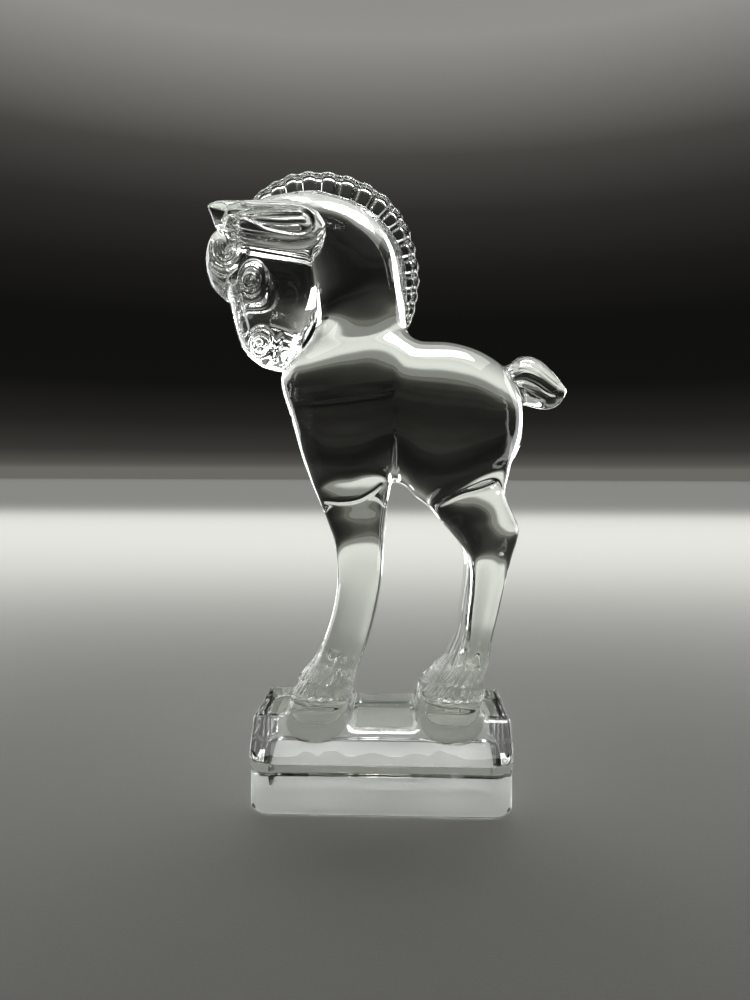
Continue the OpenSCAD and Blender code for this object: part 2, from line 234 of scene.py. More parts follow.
REAR_HOOF = [
    [19.5, 49.5, 47.5, 48.5, leg_half + 2.5, leg_mid + 2.5, 2.6],
    [17.7, 45.5, 47.5, 44.5, hoof_half - 0.2, hoof_mid - 0.2, 2.6],
    [17, 40, 47.8, 40, hoof_half, hoof_mid, 2.6],
    [17, 30, 47.8, 30, hoof_half, hoof_mid, 2.6],
]
FLUTES = 26
FLUTE_DEPTH = 0.1
RING_AT = 0.46
FLUTES_END = 0.98
STAGGER = 0.6
FLUTE_FILLET, HOOF_FILLET = 0.8, 2.6


def flutes(height, angle):
    """Two staggered rows of rounded bars, with a plain ring between the rows and at each end."""
    ends = np.clip(np.minimum(height, FLUTES_END - height) * 14, 0, 1)
    ring = np.clip(np.abs(height - RING_AT) * 16 - 0.6, 0, 1)
    bars = np.abs(np.cos(angle * FLUTES / 2 + (height > RING_AT) * STAGGER))
    return 1 - FLUTE_DEPTH * (ends * ring) * (1 - bars)


for side in (1, -1):
    press(limb(FORELEG, side), PAIR)
    press(limb(HIND_LEG, side), PAIR)
    for foot, hoof in ((FRONT_FOOT, FRONT_HOOF), (REAR_FOOT, REAR_HOOF)):
        press(limb(foot, side, around=360, per=14, wave=flutes), FLUTE_FILLET)
        press(limb(hoof, side), HOOF_FILLET)

# Body: a deep barrel over the legs, with the chest in front and the rump behind. Its sides are
# pressed almost flat, and only the back and the belly turn over sharply.
BODY = [
    [-49.3, 201.5, -49.3, 194, 5, 0, 2],
    [-48, 203, -46.5, 187, 13, 0, 2.2],
    [-43.5, 207, -42.5, 174, 18, 0, 2.4],
    [-37, 214, -37, 156, 22, 0, 2.8],
    [-29, 217, -29, 140.5, 24, 0, 3.0],
    [-18, 218, -18, 138.5, 25, 0, 3.2],
    [-8, 218, -8, 142, 25, 0, 3.2],
    [0, 218, 0, 147, 25, 0, 3.2],
    [5, 218, 5, 149.5, 25, 0, 3.4],
    [11, 217.5, 11, 147.5, 26, 0, 3.6],
    [20, 216.4, 18, 141, 27, 0, 3.8],
    [31, 216, 29, 137.5, 27, 0, 3.8],
    [43, 213, 41, 142, 26, 0, 3.6],
    [54, 207.5, 53, 148, 23, 0, 3.0],
    [61, 201, 61, 157.5, 18, 0, 2.4],
    [65.5, 193, 65.5, 166, 12, 0, 2.1],
    [67, 184, 67, 174, 5, 0, 2],
]
BODY_FILLET = 2.0
press(limb(BODY), BODY_FILLET)

# Neck: a thick arched column that the mane crest follows. It is squarer at its base, where it
# runs into the shoulders without a ledge.
NECK = [
    [-46, 285, -31, 289, 9, 0, 2],
    [-52, 274, -12.5, 283, 15, 0, 2],
    [-46, 262, 0.5, 273, 17, 0, 2.1],
    [-40, 248, 8, 260, 18, 0, 2.1],
    [-35, 236, 10, 245, 18.5, 0, 2.1],
    [-33, 225, 10.4, 232, 20, 0, 2.3],
    [-38, 213, 11.5, 222, 22, 0, 2.6],
    [-45, 203, 15, 213, 24, 0, 3],
    [-43, 190, 16, 198, 24, 0, 3],
]
NECK_FILLET = 6.0
press(limb(NECK), NECK_FILLET)

# Head and muzzle: short and square, with full cheeks and a blunt nose held down against the chest.
# They are one form here and are parted below the cheek later.
HEAD = [
    [-46, 287.5, -35, 287.5, 8, 0, 2],
    [-61, 284, -26, 281, 14, 0, 2.2],
    [-74, 277, -24, 269, 16, 0, 2.3],
    [-79, 268, -26, 257, 17, 0, 2.4],
    [-79.5, 254, -28, 244, 18, 0, 2.4],
    [-76, 241, -31, 233, 18, 0, 2.4],
    [-73.4, 231, -35, 226, 17, 0, 2.3],
    [-71, 220.5, -40, 216, 16, 0, 2.3],
    [-67, 212, -42.5, 208, 14, 0, 2.2],
    [-60, 206, -45.5, 203.2, 9, 0, 2.1],
]
HEAD_FILLET = 1.5
press(limb(HEAD), HEAD_FILLET)

# Forelock: a thick pad of glass on the forehead, into which two curled locks are carved.
# It stands forward of the nose, so it gives the figure its round brow.
FORELOCK = [
    [-77, 274, -73, 272, 5, 0, 2],
    [-84, 267, -68, 266, 11, 0, 2.2],
    [-86.3, 256, -66, 256, 12.5, 0, 2.2],
    [-83.5, 244.5, -66, 247, 11.5, 0, 2.2],
    [-77, 237.5, -70, 239, 6, 0, 2],
]
FORELOCK_FILLET = 1.0
press(limb(FORELOCK), FORELOCK_FILLET)

# Tail: a short docked tail curled up and out from the rump. It is a flat paddle of glass with its
# hair carved in on both sides.
TAIL = [
    [54, 206, 58, 184, 8, 0, 2],
    [60, 206.5, 63, 187, 8, 0, 2],
    [66, 210.5, 68, 187.3, 8, 0, 2.2],
    [74, 209.5, 75, 185.6, 7.5, 0, 2.2],
    [82, 203, 80, 185.4, 6.5, 0, 2.2],
    [86.5, 197.5, 85, 187.5, 5, 0, 2],
    [88.3, 195, 88, 192.5, 3, 0, 2],
]
TAIL_FILLET = 1.5
press(limb(TAIL), TAIL_FILLET)

# Ears: two long leaves laid forward along the head. They stand proud of its sides, and each is
# hollowed into a bowl that shallows out toward the tip.
EAR = [
    [-81.8, 278.8, -81.2, 276, 1.5, 15.5, 2],
    [-76.8, 280.3, -76.5, 265.5, 3.5, 16, 2.2],
    [-66.5, 280, -66, 261, 5, 17, 2.3],
    [-52.6, 279.4, -52.2, 258.6, 6, 18, 2.4],
    [-41, 278.3, -40.6, 257.8, 6, 18, 2.4],
    [-32, 275, -32.7, 260, 5, 17, 2.3],
    [-27.3, 269.6, -28.1, 264, 2.5, 16, 2],
]
EAR_FILLET = 0.8
press(limb(EAR), EAR_FILLET)

# Relief: the carving of the mould on the figure's two sides, as a height in mm over the smooth
# form. It was cut with round-nosed tools, so each stroke has soft walls. The glass doesn't fill
# the mould's lines to their full depth, which FILL stands for.
FILL = 0.8
FADE_FROM, FADE_OVER = 3.5, 5.0
relief = np.zeros((cells[0], cells[2]), np.float32)


def step_up(value):
    """A soft step from 0 to 1."""
    value = np.clip(value, 0, 1)
    return value * value * (3 - 2 * value)


def mark(rows, height, edge=1.3, per=8):
    """A raised or sunk stroke. A row is x, z and the stroke's half-width, all in mm."""
    rows = curve(rows, per)
    reach = rows[:, 2].max() + edge
    low, high = rows[:, :2].min(0) - reach, rows[:, :2].max(0) + reach
    i = slice(*np.clip(((low[0], high[0]) - MOULD_LOW[0]) / CELL, 0, cells[0]).astype(int))
    k = slice(*np.clip(((low[1], high[1]) - MOULD_LOW[2]) / CELL, 0, cells[2]).astype(int))
    x, z = side_x[i], side_z[:, k]
    most = np.full((x.shape[0], z.shape[1]), -9.0)
    for (ax, az, ar), (bx, bz, br) in zip(rows[:-1], rows[1:]):
        run = (bx - ax) ** 2 + (bz - az) ** 2 + 1e-9
        t = np.clip(((x - ax) * (bx - ax) + (z - az) * (bz - az)) / run, 0, 1)
        gap = np.hypot(x - ax - t * (bx - ax), z - az - t * (bz - az))
        most = np.maximum(most, ar + t * (br - ar) - gap)
    relief[i, k] += FILL * height * step_up(most / edge + 0.5)


def arc(x, z, rx, rz, half, start=0, end=360, turn=0):
    """Rows of a stroke along an oval, from one angle to another, in degrees."""
    rows = []
    for a in np.radians(np.linspace(start, end, max(5, int(abs(end - start) / 15)))):
        u, v = rx * math.cos(a), rz * math.sin(a)
        c, s = math.cos(math.radians(turn)), math.sin(math.radians(turn))
        rows.append([x + c * u - s * v, z + s * u + c * v, half])
    return rows


def line(half, *places):
    """Rows of a stroke of one width through the given places."""
    return [[x, z, half] for x, z in places]


# Eye: a raised oval rim with a groove inside it, and a round ball with a drilled pupil.
# It is pressed with the head and has no glaze or paint of its own.
mark(arc(-60.8, 243.7, 6.4, 8.6, 0.55, turn=-8), 1.0)
mark(arc(-61.5, 243.5, 4.9, 6.4, 0.5), -1.0)
mark([[-62.1, 243.1, 3.6], [-61.9, 243.2, 3.6]], 1.2)
mark(arc(-62.1, 243.1, 2.6, 2.6, 0.35), -0.8)
mark([[-62.6, 242.9, 0.9], [-62.5, 242.9, 0.9]], -0.8)
# Nose and nostril: one long sunk drop down the nose, and a comma curl with a brow line over it.
# Both are sunk, so they show as dark lines with a bright lip.
mark([[-67.2, 236.5, 0.5], [-66.9, 230, 1.5], [-66, 223, 2.6], [-65.6, 221.5, 2.4]], -1.6)
mark(arc(-58.1, 213.8, 4.4, 4.6, 0.5, 20, 340), -1.2)
mark([[-58.3, 213.7, 1.6], [-58.1, 213.8, 1.6]], -0.9)
mark(line(0.7, (-62.2, 219.4), (-57.8, 221.8), (-54, 221), (-51.6, 217.4), (-52.2, 212.6)), -1.2)
# Chin, mouth and cheek: short sunk strokes below the nostril, and the long curve of the jaw.
# They are shallower than the nose, as the mould had to open straight off them.
mark([[-50.5, 212.3, 0.5], [-49.1, 215.8, 1.1], [-47.5, 219.1, 0.5]], -1.2)
mark([[-51.2, 208, 0.4], [-49.7, 211.3, 0.9], [-48.7, 213.6, 0.5]], -1.0)
mark(line(0.6, (-45.4, 206.7), (-42.5, 210.9), (-38.1, 217.1), (-33.3, 224.4)), -1.3)
mark(line(0.45, (-41, 208.9), (-38.1, 213.2), (-35.2, 218.6)), -0.9)
mark(line(0.5, (-31.2, 241.8), (-31.2, 235.2), (-31.5, 229.4), (-32.4, 225.6), (-35.5, 222.8)), -1.2)
JAW = (-52.6, 222.3), (-47.4, 221), (-42.1, 219.5), (-36.9, 220.3), (-33.1, 223.5), (-26.4, 225.6)
mark(line(0.45, *JAW), -0.9)
# Forelock: three turns of a curl round a small hollow, with two strands swept in below it.
# The strokes are cut deep, because the pad they are in is thick.
for out in (2.6, 5.2, 7.8):
    mark(arc(-73.8, 261.3, out, out * 1.25, 0.55, 170, 385), -1.3)
mark([[-74, 264, 0.8], [-74, 260.3, 0.8]], -1.2)
mark([[-82.3, 252.6, 0.5], [-78.4, 249.4, 1.2], [-73.5, 248.4, 1.4], [-68.7, 250, 0.6]], -1.8)
mark(line(0.5, (-80.3, 245.6), (-76.9, 242.9), (-73, 242.2), (-69.5, 243.4)), -1.3)
# Ear: a long hollow bowl with three raised hairs in it, and one sunk line along the lower edge.
# The bowl is the deepest cut of all, apart from the tail.
BOWL = [[-70, 272.8, 0.4], [-61, 271.6, 2.6], [-50, 269.8, 5], [-41, 268.9, 6], [-37.8, 268.7, 5.8]]
mark(BOWL, -2.0, 1.8)
mark(line(0.5, (-66, 272.4), (-57, 272.6), (-46, 272.8), (-38, 273)), 1.1)
mark(line(0.5, (-66, 271.4), (-57, 270), (-46, 269), (-36.5, 269.6)), 1.1)
mark(line(0.5, (-64, 270.2), (-56, 267.4), (-46, 265.8), (-38.5, 266.2)), 1.1)
mark(line(0.6, (-76, 268.8), (-66, 264.6), (-54, 262), (-42, 260.6), (-33, 262.4)), -1.2)
# Tail: one deep hollow down its middle, a shorter one under it, and two fine hair lines above.
# They follow its curl from the rump to the tip.
HOLLOW = [[62.4, 198.2, 1], [66.8, 199.4, 1.6], [72.7, 197.4, 1.8], [78.6, 193.7, 1.6], [82.5, 191.9, 0.8]]
mark(HOLLOW, -2.4, 1.2)
mark([[66.8, 195.2, 0.5], [71.7, 192.8, 1.6], [77.6, 190.1, 1.2]], -1.4, 1.2)
mark(line(0.5, (59.5, 203.1), (65.8, 206.6), (71.7, 205.2), (78.6, 199.9), (84, 195.6)), -0.9)
mark(line(0.4, (60.5, 200.6), (65.8, 203.7), (71.7, 202.5), (78.1, 197.8), (83, 194.2)), -0.7)
# Body: the crease that runs up from between the legs, and the folds of the stifle and the elbow.
# Nothing is carved near the middle plane, where the two halves of the mould meet.
mark([[5.6, 152.3, 2.4], [5.6, 159.7, 1.1], [5.9, 169.1, 0.6], [6, 182.2, 0.3]], -1.6, 1.6)
mark(line(0.5, (51.4, 149.3), (44.4, 146.7), (35.9, 144.3), (26.6, 139.6)), -0.9)
mark(line(0.5, (-26.7, 141.2), (-18.3, 140.7), (-10.8, 142), (-4.2, 145.7), (-0.5, 148.5)), -0.8)
depth_share = step_up((np.abs(along_y) - FADE_FROM) / FADE_OVER)
glass -= relief[:, None, :] * depth_share

# Mane crest: a thin upright web of glass along the neck. Round locks give it a scalloped top with a
# thick bead along it, and a raised rib runs down between each two locks.
CREST = [
    [-66, 281], [-57, 284], [-45, 286.7], [-31, 287.8], [-17, 285.3], [-5, 279],
    [2.7, 269.5], [7, 257.5], [8.8, 245], [9.8, 233], [10.8, 224],
]
LOCKS = 17
CREST_H, CREST_MORE = 9.0, 2.6
SCALLOP = 1.1
BEAD = 1.4
WEB, RIB = 1.8, 0.8
CREST_ENDS = 0.22
CREST_ROOT = 5.0
CREST_FILLET = 1.0
CREST_FIELD = 14.0
crest = curve(CREST, 24)
share = np.linspace(0, 1, len(crest))
x, z = side_x, side_z
best = np.full((cells[0], cells[2]), 1e9, np.float32)
place = np.zeros_like(best)
above = np.zeros_like(best)
for (ax, az), (bx, bz), s0, s1 in zip(crest[:-1], crest[1:], share[:-1], share[1:]):
    run = (bx - ax) ** 2 + (bz - az) ** 2
    t = np.clip(((x - ax) * (bx - ax) + (z - az) * (bz - az)) / run, 0, 1)
    gap = np.hypot(x - ax - t * (bx - ax), z - az - t * (bz - az))
    near = gap < best
    best = np.where(near, gap, best)
    place = np.where(near, s0 + t * (s1 - s0), place)
    hand = np.sign((z - az) * (bx - ax) - (x - ax) * (bz - az))
    above = np.where(near, gap * hand, above)
taper = np.minimum(1, np.minimum(place, 1 - place) / CREST_ENDS) ** 0.6
lock = np.abs(np.cos(np.pi * LOCKS * place))
rise = CREST_H + CREST_MORE * step_up((0.75 - place) * 2) - SCALLOP * lock ** 3
top = np.maximum(0.4, taper * rise)
bead = np.clip(1 - np.abs(top - BEAD - above) / BEAD, 0, 1) ** 0.5
rib = np.clip(1 - (1 - lock) * 9, 0, 1)
thick = WEB + BEAD * bead + RIB * rib
panel = meet((np.abs(along_y) - thick[:, None, :]) * 0.85, (above - top)[:, None, :] * 0.9, 1.2)
panel = meet(panel, (-above - CREST_ROOT)[:, None, :], 0.5)
panel = np.where((best < CREST_FIELD)[:, None, :], panel, REACH).astype(np.float32)
glass = join(glass, panel, CREST_FILLET)

# Skin: after pressing, the figure is fire polished in a gas flame, which softens every edge. The
# field is blurred once for that, mirrored for the near half, and meshed. Each point of the mesh is
# then moved onto the true surface.
def polish(field):
    """Blurs the field by about one cell."""
    for axis in range(3):
        field = np.moveaxis(field, axis, 0)
        inner = (field[:-2] + 2 * field[1:-1] + field[2:]) / 4
        field = np.concatenate([field[:1], inner, field[-1:]])
        field = np.moveaxis(field, 0, axis)
    return field


glass = polish(glass).astype(np.float32)
MIDDLE = int(-MOULD_LOW[1] / CELL)
both = np.concatenate([glass[:, :MIDDLE:-1], glass[:, MIDDLE:]], 1)
BOTH_LOW = np.array([MOULD_LOW[0], -CELL * (cells[1] - 1 - MIDDLE), MOULD_LOW[2]])
melt = vdb.FloatGrid(REACH)
melt.copyFromArray(np.ascontiguousarray(both))
skin_points, skin_quads = melt.convertToQuads(isovalue=0.0)
skin_points = skin_points.astype(float)


def depth_at(points, field):
    """The field between cells, for points given in cells."""
    points = np.clip(points, 0, np.array(field.shape) - 1.001)
    i = points.astype(int)
    f = points - i
    out = np.zeros(len(points))
    for dx in (0, 1):
        for dy in (0, 1):
            for dz in (0, 1):
                w = np.abs(1 - dx - f[:, 0]) * np.abs(1 - dy - f[:, 1]) * np.abs(1 - dz - f[:, 2])
                out += w * field[i[:, 0] + dx, i[:, 1] + dy, i[:, 2] + dz]
    return out


STEP = 0.75


def uphill(points, field):
    """The slope of the field, which points straight out of the glass."""
    out = []
    for axis in range(3):
        nudge = np.zeros(3)
        nudge[axis] = STEP
        out.append((depth_at(points + nudge, field) - depth_at(points - nudge, field)) / (2 * STEP))
    return np.stack(out, 1)


for _ in range(2):
    slope_there = uphill(skin_points, both)
    size = (slope_there ** 2).sum(1, keepdims=True)
    skin_points -= slope_there * depth_at(skin_points, both)[:, None] / np.maximum(size, 0.01)

# Crystal: clear glass, pressed hot and then fire polished. Its index of about 1.52 gives the
# bright rims and upside-down views, and the flame leaves a faint 16 mm ripple and a slight smear.
# The plinth's underside is ground flat on a wheel, so it scatters light and looks pale from above.
def linear(code):
    """A screen colour as Blender's own linear numbers."""
    parts = [int(code[i:i + 2], 16) / 255 for i in (1, 3, 5)]
    return [p / 12.92 if p <= 0.04045 else ((p + 0.055) / 1.055) ** 2.4 for p in parts] + [1.0]


def add(tree, kind, settings=None, links=None):
    """Adds one shader node, with its settings, and links from other nodes into its inputs."""
    node = tree.nodes.new(kind)
    for key, value in (settings or {}).items():
        if key in node.inputs:
            node.inputs[key].default_value = value
        else:
            setattr(node, key, value)
    for key, source in (links or {}).items():
        tree.links.new(source, node.inputs[key])
    return node


GLASS_IOR = 1.52
RIPPLE, RIPPLE_H = 16 * MM, 0.8 * MM
SMEAR = 20 * MM
GROUND_L, GROUND_D = 55.0, 33.0
GROUND_EDGE = 0.6
GROUND_UP = 0.2


def crystal(name, ground):
    """Clear pressed glass. Where it was ground, it scatters."""
    material = bpy.data.materials.new(name)
    material.use_nodes = True
    tree = material.node_tree
    tree.nodes.clear()
    where = add(tree, "ShaderNodeTexCoord")
    place_in = {"Vector": where.outputs["Object"]}
    ripple = add(tree, "ShaderNodeTexNoise", {"Scale": 1 / RIPPLE, "Detail": 1.0}, place_in)
    bump = add(tree, "ShaderNodeBump", {"Strength": 0.15, "Distance": RIPPLE_H},
               {"Height": ripple.outputs["Fac"]})
    smear = add(tree, "ShaderNodeTexNoise", {"Scale": 1 / SMEAR, "Detail": 3.0}, place_in)
    rough = add(tree, "ShaderNodeMapRange", {"To Min": 0.0, "To Max": 0.02},
                {"Value": smear.outputs["Fac"]})
    finish = rough.outputs["Result"]
    if ground:
        spot = add(tree, "ShaderNodeSeparateXYZ", links=place_in)
        shares = []
        for axis, reach in (("X", GROUND_L), ("Y", GROUND_D)):
            away = add(tree, "ShaderNodeMath", {"operation": "ABSOLUTE"}, {0: spot.outputs[axis]})
            edge = {"From Min": reach * MM, "From Max": (reach - GROUND_EDGE) * MM}
            shares.append(add(tree, "ShaderNodeMapRange", edge, {"Value": away.outputs[0]}))
        edge = {"From Min": GROUND_EDGE * MM, "From Max": GROUND_UP * MM}
        low_down = add(tree, "ShaderNodeMapRange", edge, {"Value": spot.outputs["Z"]})
        flat = add(tree, "ShaderNodeMath", {"operation": "MULTIPLY"},
                   {0: shares[0].outputs["Result"], 1: shares[1].outputs["Result"]})
        under = add(tree, "ShaderNodeMath", {"operation": "MULTIPLY"},
                    {0: flat.outputs[0], 1: low_down.outputs["Result"]})
        grit = add(tree, "ShaderNodeMix", {"B": 0.55}, {"Factor": under.outputs[0], "A": finish})
        finish = grit.outputs["Result"]
    shader = add(tree, "ShaderNodeBsdfPrincipled", {
        "Base Color": linear("#f9fdf8"), "Transmission Weight": 1.0, "IOR": GLASS_IOR,
    }, {"Roughness": finish, "Normal": bump.outputs["Normal"]})
    add(tree, "ShaderNodeOutputMaterial", links={"Surface": shader.outputs["BSDF"]})
    return material


clear_glass = crystal("pressed crystal, fire polished", False)
ground_glass = crystal("pressed crystal, ground underside", True)

# The members are one glass, so where two of them are fused there is no surface for light to meet.
fused_joint = bpy.data.materials.new("fused joint inside the glass")
fused_joint.use_nodes = True
tree = fused_joint.node_tree
tree.nodes.clear()
through = add(tree, "ShaderNodeBsdfTransparent")
add(tree, "ShaderNodeOutputMaterial", links={"Surface": through.outputs["BSDF"]})

# Parting: the pressing is one solid, and this cuts it into the members that its sculptor modelled,
# with an upright knife along an outline in the side view. A cut face lies where glass is fused to
# glass, so it carries the fused joint material, and the skin keeps the shading of the whole field.
skin_points = skin_points * CELL + BOTH_LOW
SKIN, JOINT = 0, 1
FAR = 400.0
KNIFE_REACH = 60.0
MOST_TRIANGLES = 190000


def raw(name, points, faces, kind):
    """A block of glass in mm, whose faces are all skin or all fused joint."""
    mesh = bpy.data.meshes.new(name)
    mesh.from_pydata(points, [], faces)
    mesh.materials.append(clear_glass)
    mesh.materials.append(fused_joint)
    mesh.polygons.foreach_set("material_index", np.full(len(mesh.polygons), kind, np.int32))
    thing = bpy.data.objects.new(name, mesh)
    bpy.context.scene.collection.objects.link(thing)
    return thing


def baked(thing, name, kind, **settings):
    """A new block from one modifier on an old one."""
    change = thing.modifiers.new(kind, kind)
    for key, value in settings.items():
        setattr(change, key, value)
    seen = thing.evaluated_get(bpy.context.evaluated_depsgraph_get())
    mesh = bpy.data.meshes.new_from_object(seen)
    thing.modifiers.remove(change)
    out = bpy.data.objects.new(name, mesh)
    bpy.context.scene.collection.objects.link(out)
    return out


def drop(thing):
    """Throws a used block away."""
    mesh = thing.data
    bpy.data.objects.remove(thing)
    bpy.data.meshes.remove(mesh)


def part(block, outline, y0=-KNIFE_REACH, y1=KNIFE_REACH):
    """Parts a block along a closed outline in the side view. Gives the inside, then the rest."""
    outline = [tuple(p) for p in outline]
    turn = sum((b[0] - a[0]) * (b[1] + a[1]) for a, b in zip(outline, outline[1:] + outline[:1]))
    if turn > 0:
        outline = outline[::-1]
    n = len(outline)
    points = [(x, y0, z) for x, z in outline] + [(x, y1, z) for x, z in outline]
    faces = [list(range(n)), list(range(2 * n - 1, n - 1, -1))]
    faces += [[i, i + n, (i + 1) % n + n, (i + 1) % n] for i in range(n)]
    knife = raw("knife", points, faces, JOINT)
    setting = dict(object=knife, solver="MANIFOLD", material_mode="INDEX")
    inside = baked(block, "inside", "BOOLEAN", operation="INTERSECT", **setting)
    rest = baked(block, "rest", "BOOLEAN", operation="DIFFERENCE", **setting)
    drop(knife)
    drop(block)
    return inside, rest


def band(z0, z1, x0=-FAR, x1=FAR):
    """The outline of a level band."""
    return [(x0, z0), (x1, z0), (x1, z1), (x0, z1)]


def piece(block, node):
    """Names a finished piece, gives it the field's own slopes as its shading, and ties it to the CAD."""
    many = sum(len(p.vertices) - 2 for p in block.data.polygons)
    if many > MOST_TRIANGLES:
        slim = baked(block, "slim", "DECIMATE", ratio=MOST_TRIANGLES / many)
        drop(block)
        block = slim
    mesh = block.data
    block.name = mesh.name = "glass_" + node
    points = np.empty(len(mesh.vertices) * 3, np.float32)
    mesh.vertices.foreach_get("co", points)
    points = points.reshape(-1, 3).astype(float)
    normals = uphill((points - BOTH_LOW) / CELL, both)
    normals /= np.linalg.norm(normals, axis=1, keepdims=True) + 1e-9
    mesh.vertices.foreach_set("co", (points * MM).astype(np.float32).ravel())
    mesh.update()
    mesh.shade_smooth()
    corner_vertex = np.empty(len(mesh.loops), np.int32)
    mesh.loops.foreach_get("vertex_index", corner_vertex)
    face_size = np.empty(len(mesh.polygons), np.int32)
    mesh.polygons.foreach_get("loop_total", face_size)
    kind = np.empty(len(mesh.polygons), np.int32)
    mesh.polygons.foreach_get("material_index", kind)
    flat = np.empty(len(mesh.polygons) * 3, np.float32)
    mesh.polygons.foreach_get("normal", flat)
    flat = np.repeat(flat.reshape(-1, 3), face_size, 0)
    corner = np.where(np.repeat(kind == JOINT, face_size)[:, None], flat, normals[corner_vertex])
    mesh.normals_split_custom_set(corner.tolist())
    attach(block, "root")
    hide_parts(node)
    return block


def halves(block):
    """The near and the far half of a pair of members, parted along the middle plane."""
    near, far = part(block, band(0, FAR), -KNIFE_REACH, 0)
    return (near, "near"), (far, "far")


# Plinth casting: the two-tier block, parted from the hooves just above the plateau. It is the only
# member with a ground face, which is the flat one that it stands on.
PARTING_GAP = 0.3
FETLOCK_TOP = 63
cast = raw("cast", skin_points, skin_quads, SKIN)
figure, plinth_block = part(cast, band(PLINTH_H + PARTING_GAP, FAR))
feet, figure = part(figure, band(0, FETLOCK_TOP))
piece(plinth_block, "plinth").data.materials[SKIN] = ground_glass

# Hooves and fetlocks: four feet of solid glass fused to the plateau. Each is parted at the ring
# between the plain hoof and the fluted fetlock.
MID_X = 5
HOOF_TOP = 49.3
front_feet, rear_feet = part(feet, band(0, FAR, -FAR, MID_X))
for pair, end in ((front_feet, "front"), (rear_feet, "rear")):
    for foot, side in halves(pair):
        fetlock, hoof = part(foot, band(HOOF_TOP, FAR))
        piece(hoof, f"hoof_{end}_{side}")
        piece(fetlock, f"fetlock_{end}_{side}")

# Forelegs: two plain columns of glass fused along the middle plane. They run up into the chest,
# where the cut follows the slant of the elbow.
ELBOW = (-FAR, 82.34), (MID_X, 147.14)
legs, figure = part(figure, [(-FAR, 20), *ELBOW, (MID_X, 20)])
for leg, side in halves(legs):
    piece(leg, f"foreleg_{side}")

# Hind legs: the gaskin narrows from the stifle down to the knob of the hock, and the cannon goes on
# down to the fetlock. Both are solid glass, fused along the middle plane like the forelegs.
STIFLE = (MID_X, 124.05), (FAR, 311.3)
HOCK = 114
legs, figure = part(figure, [(MID_X, 20), *STIFLE, (FAR, 20)])
for leg, side in halves(legs):
    gaskin, cannon = part(leg, band(HOCK, FAR))
    piece(gaskin, f"gaskin_{side}")
    piece(cannon, f"cannon_rear_{side}")

# Tail: the curled paddle, fused to the rump at its thick root.
# The cut runs down the slope of the rump.
TAIL_ROOT = [(57, 220), (57, 205), (67.5, 187), (69, 178)]
tail, figure = part(figure, TAIL_ROOT + [(110, 178), (110, 220)])
piece(tail, "tail")

# Forequarters and hindquarters: the barrel of the body, parted at the crease behind the forelegs.
# It is the thickest glass of the figure. The neck rises from it along a slanting cut.
WITHERS = (-FAR, 121.8), (FAR, 305.8)
upper, body = part(figure, [WITHERS[0], (-FAR, 320), (FAR, 320), WITHERS[1]])
fore, hind = part(body, band(0, FAR, -FAR, MID_X))
piece(fore, "forequarters")
piece(hind, "hindquarters")

# Mane crest: the scalloped web, fused to the arch of the neck along its whole root.
# The cut follows the same curve that the locks are set out on.
mane, upper = part(upper, [tuple(p) for p in curve(CREST, 6)] + [(45, 224), (45, 320), (-75, 320)])
piece(mane, "mane_crest")

# Neck: the arched column between the shoulders and the head.
# The cut behind the head follows the jaw and then goes straight up behind the ears.
JAW_LINE = [
    (-47.5, 190), (-45.5, 204), (-41, 209), (-36, 219), (-33, 226), (-28, 243), (-27, 256), (-27, 300),
]
front, neck = part(upper, [(-FAR, 190)] + JAW_LINE + [(-FAR, 300)])
piece(neck, "neck")

# Ears and eyes: a leaf and an oval button of glass on each side of the head, both fused to it.
# The mould presses them with the head, so each cut is a flat seat at a set depth.
EAR_SEAT, EYE_SEAT = 14, 10
EAR_LEAF = [(-82, 280), (-82, 270), (-66, 259), (-40, 253.5), (-27, 255), (-22, 264), (-26, 280), (-50, 283)]
EYE_AT, EYE_WIDE, EYE_TALL = (-61.5, 243.3), 7.2, 9.3
turns = np.linspace(0, 2 * math.pi, 33)[:-1]
eye_button = [(EYE_AT[0] + EYE_WIDE * math.cos(a), EYE_AT[1] + EYE_TALL * math.sin(a)) for a in turns]
for side, out in (("near", -1), ("far", 1)):
    ear, front = part(front, EAR_LEAF, *sorted((out * EAR_SEAT, out * KNIFE_REACH)))
    piece(ear, f"ear_{side}")
    eye, front = part(front, eye_button, *sorted((out * EYE_SEAT, out * KNIFE_REACH)))
    piece(eye, f"eye_{side}")

# Forelock, muzzle and head: the curled pad on the brow, the blunt nose with its nostrils and mouth,
# and the head with the cheeks that is left. They are fused to each other across their full width.
BROW = [(-78, 271), (-68.5, 268), (-68, 252), (-69, 246), (-71, 239), (-77.5, 235)]
forelock, front = part(front, [(-100, 268)] + BROW + [(-100, 235)])
piece(forelock, "forelock")
muzzle, head = part(front, [(-FAR, 231), (-80, 231), (-32, 225.5), (-20, 190), (-FAR, 190)])
piece(muzzle, "muzzle")
piece(head, "head")

# Floor: a wide board sprayed with matte pale paint, with a grain too fine to see apart.
# The figure stands on it, so it is only just below the plinth.
GRAIN = 1.1111e-3
FLOOR_HALF, FLOOR_NEAR, FLOOR_END = 14, -3, 11
FLOOR_GAP = 0.0004
floor_paint = bpy.data.materials.new("matte pale paint")
floor_paint.use_nodes = True
tree = floor_paint.node_tree
tree.nodes.clear()
where = add(tree, "ShaderNodeTexCoord")
grain = add(tree, "ShaderNodeTexNoise", {"Scale": 1 / GRAIN, "Detail": 4.0},
            {"Vector": where.outputs["Object"]})
tone = add(tree, "ShaderNodeMix", {"data_type": "RGBA", "A": linear("#a2a29e"), "B": linear("#aeaeaa")},
           {"Factor": grain.outputs["Fac"]})
paint = add(tree, "ShaderNodeBsdfPrincipled", {"Roughness": 0.7, "Specular IOR Level": 0.05},
            {"Base Color": tone.outputs["Result"]})
add(tree, "ShaderNodeOutputMaterial", links={"Surface": paint.outputs["BSDF"]})
